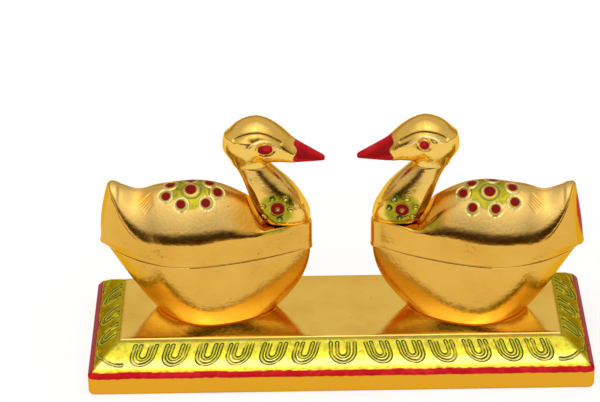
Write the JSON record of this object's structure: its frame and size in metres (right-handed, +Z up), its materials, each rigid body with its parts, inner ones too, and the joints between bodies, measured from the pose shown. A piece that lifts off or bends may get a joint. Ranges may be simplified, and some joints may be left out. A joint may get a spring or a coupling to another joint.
{
  "type": "kumkum box",
  "caption": "Gilded carved wooden kumkum box: facing ducks on a stepped plinth, each a powder pot with a swivelling lid under a fixed neck and head.",
  "frame": {"origin": "centre of the plinth's underside", "axes": "+X along the plinth's length towards the right duck, +Y away from the viewer, +Z up"},
  "size_m": [0.178, 0.0636, 0.0928],
  "materials": {
    "gilded_wood": "carved wood under burnished gold foil, with red and green lacquer details",
    "gilded_plinth": "wood under burnished gold foil, red lacquer edge and green lacquer border",
    "plain_wood": "plain turned hardwood",
    "screw_steel": "zinc plated"
  },
  "bodies": {
    "stand": {"base_plinth": "gilded_plinth", "left_bowl": "gilded_wood", "left_neck": "gilded_wood", "left_head": "gilded_wood", "left_pivot_dowel": "plain_wood", "left_head_dowel": "plain_wood", "left_bowl_screws": "screw_steel", "right_bowl": "gilded_wood", "right_neck": "gilded_wood", "right_head": "gilded_wood", "right_pivot_dowel": "plain_wood", "right_head_dowel": "plain_wood", "right_bowl_screws": "screw_steel"},
    "left_lid_body": {"left_lid": "gilded_wood"},
    "right_lid_body": {"right_lid": "gilded_wood"}
  },
  "joints": [
    {"name": "left_lid_swivel", "type": "hinge", "parent": "stand", "child": "left_lid_body", "pos_m": [-0.0194, 0, 0.0414], "axis": [0, 0, 1], "range_deg": [-90, 90]},
    {"name": "right_lid_swivel", "type": "hinge", "parent": "stand", "child": "right_lid_body", "pos_m": [0.0212, 0, 0.0414], "axis": [0, 0, 1], "range_deg": [-90, 90]}
  ]
}
